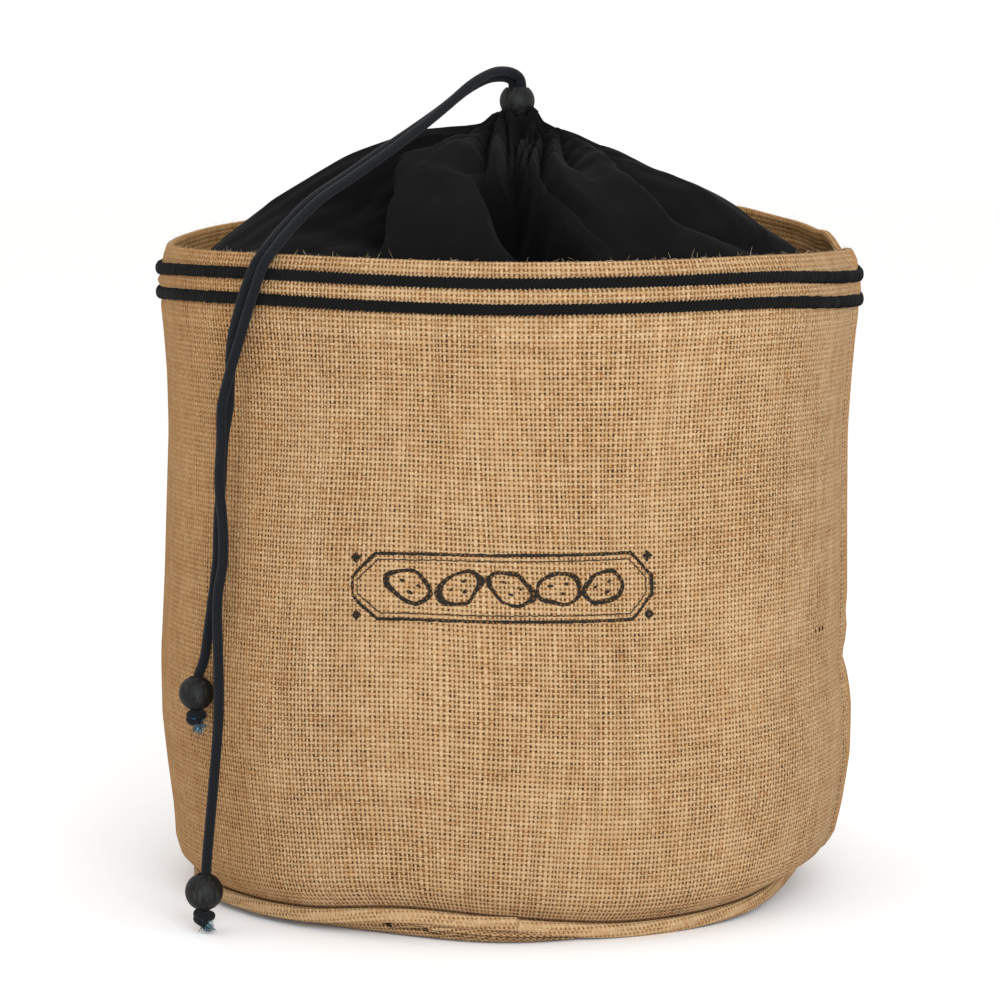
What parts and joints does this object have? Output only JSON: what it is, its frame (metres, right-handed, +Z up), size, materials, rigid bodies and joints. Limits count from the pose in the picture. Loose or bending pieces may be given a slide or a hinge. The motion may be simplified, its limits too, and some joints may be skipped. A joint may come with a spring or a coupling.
{
  "type": "potato storage sack",
  "caption": "Round jute storage sack with a turned hem, black trim cords, and a gathered black cotton closure drawn shut by a cord with wooden beads.",
  "frame": {"origin": "on the ground, under the flat middle of the base", "axes": "+Z up, -Y to the front with the label frame and the drawstring's ends, +X to the right"},
  "size_m": [0.2928, 0.2926, 0.3385],
  "materials": {
    "hessian": "open plain weave, matt",
    "black_cotton": "fine plain weave, matt",
    "trim_cord": "plied cord, matt",
    "string_cord": "braided cord, matt",
    "stained_wood": "black stain, satin"
  },
  "bodies": {
    "root": {"wall": "hessian", "base": "hessian", "base_welt": "hessian", "trim_upper": "trim_cord", "trim_lower": "trim_cord", "collar": "black_cotton", "slider_bead": "stained_wood", "cord_short": "string_cord", "cord_long": "string_cord", "end_bead_short": "stained_wood", "end_bead_long": "stained_wood", "knot_short": "string_cord", "knot_long": "string_cord"}
  },
  "joints": []
}
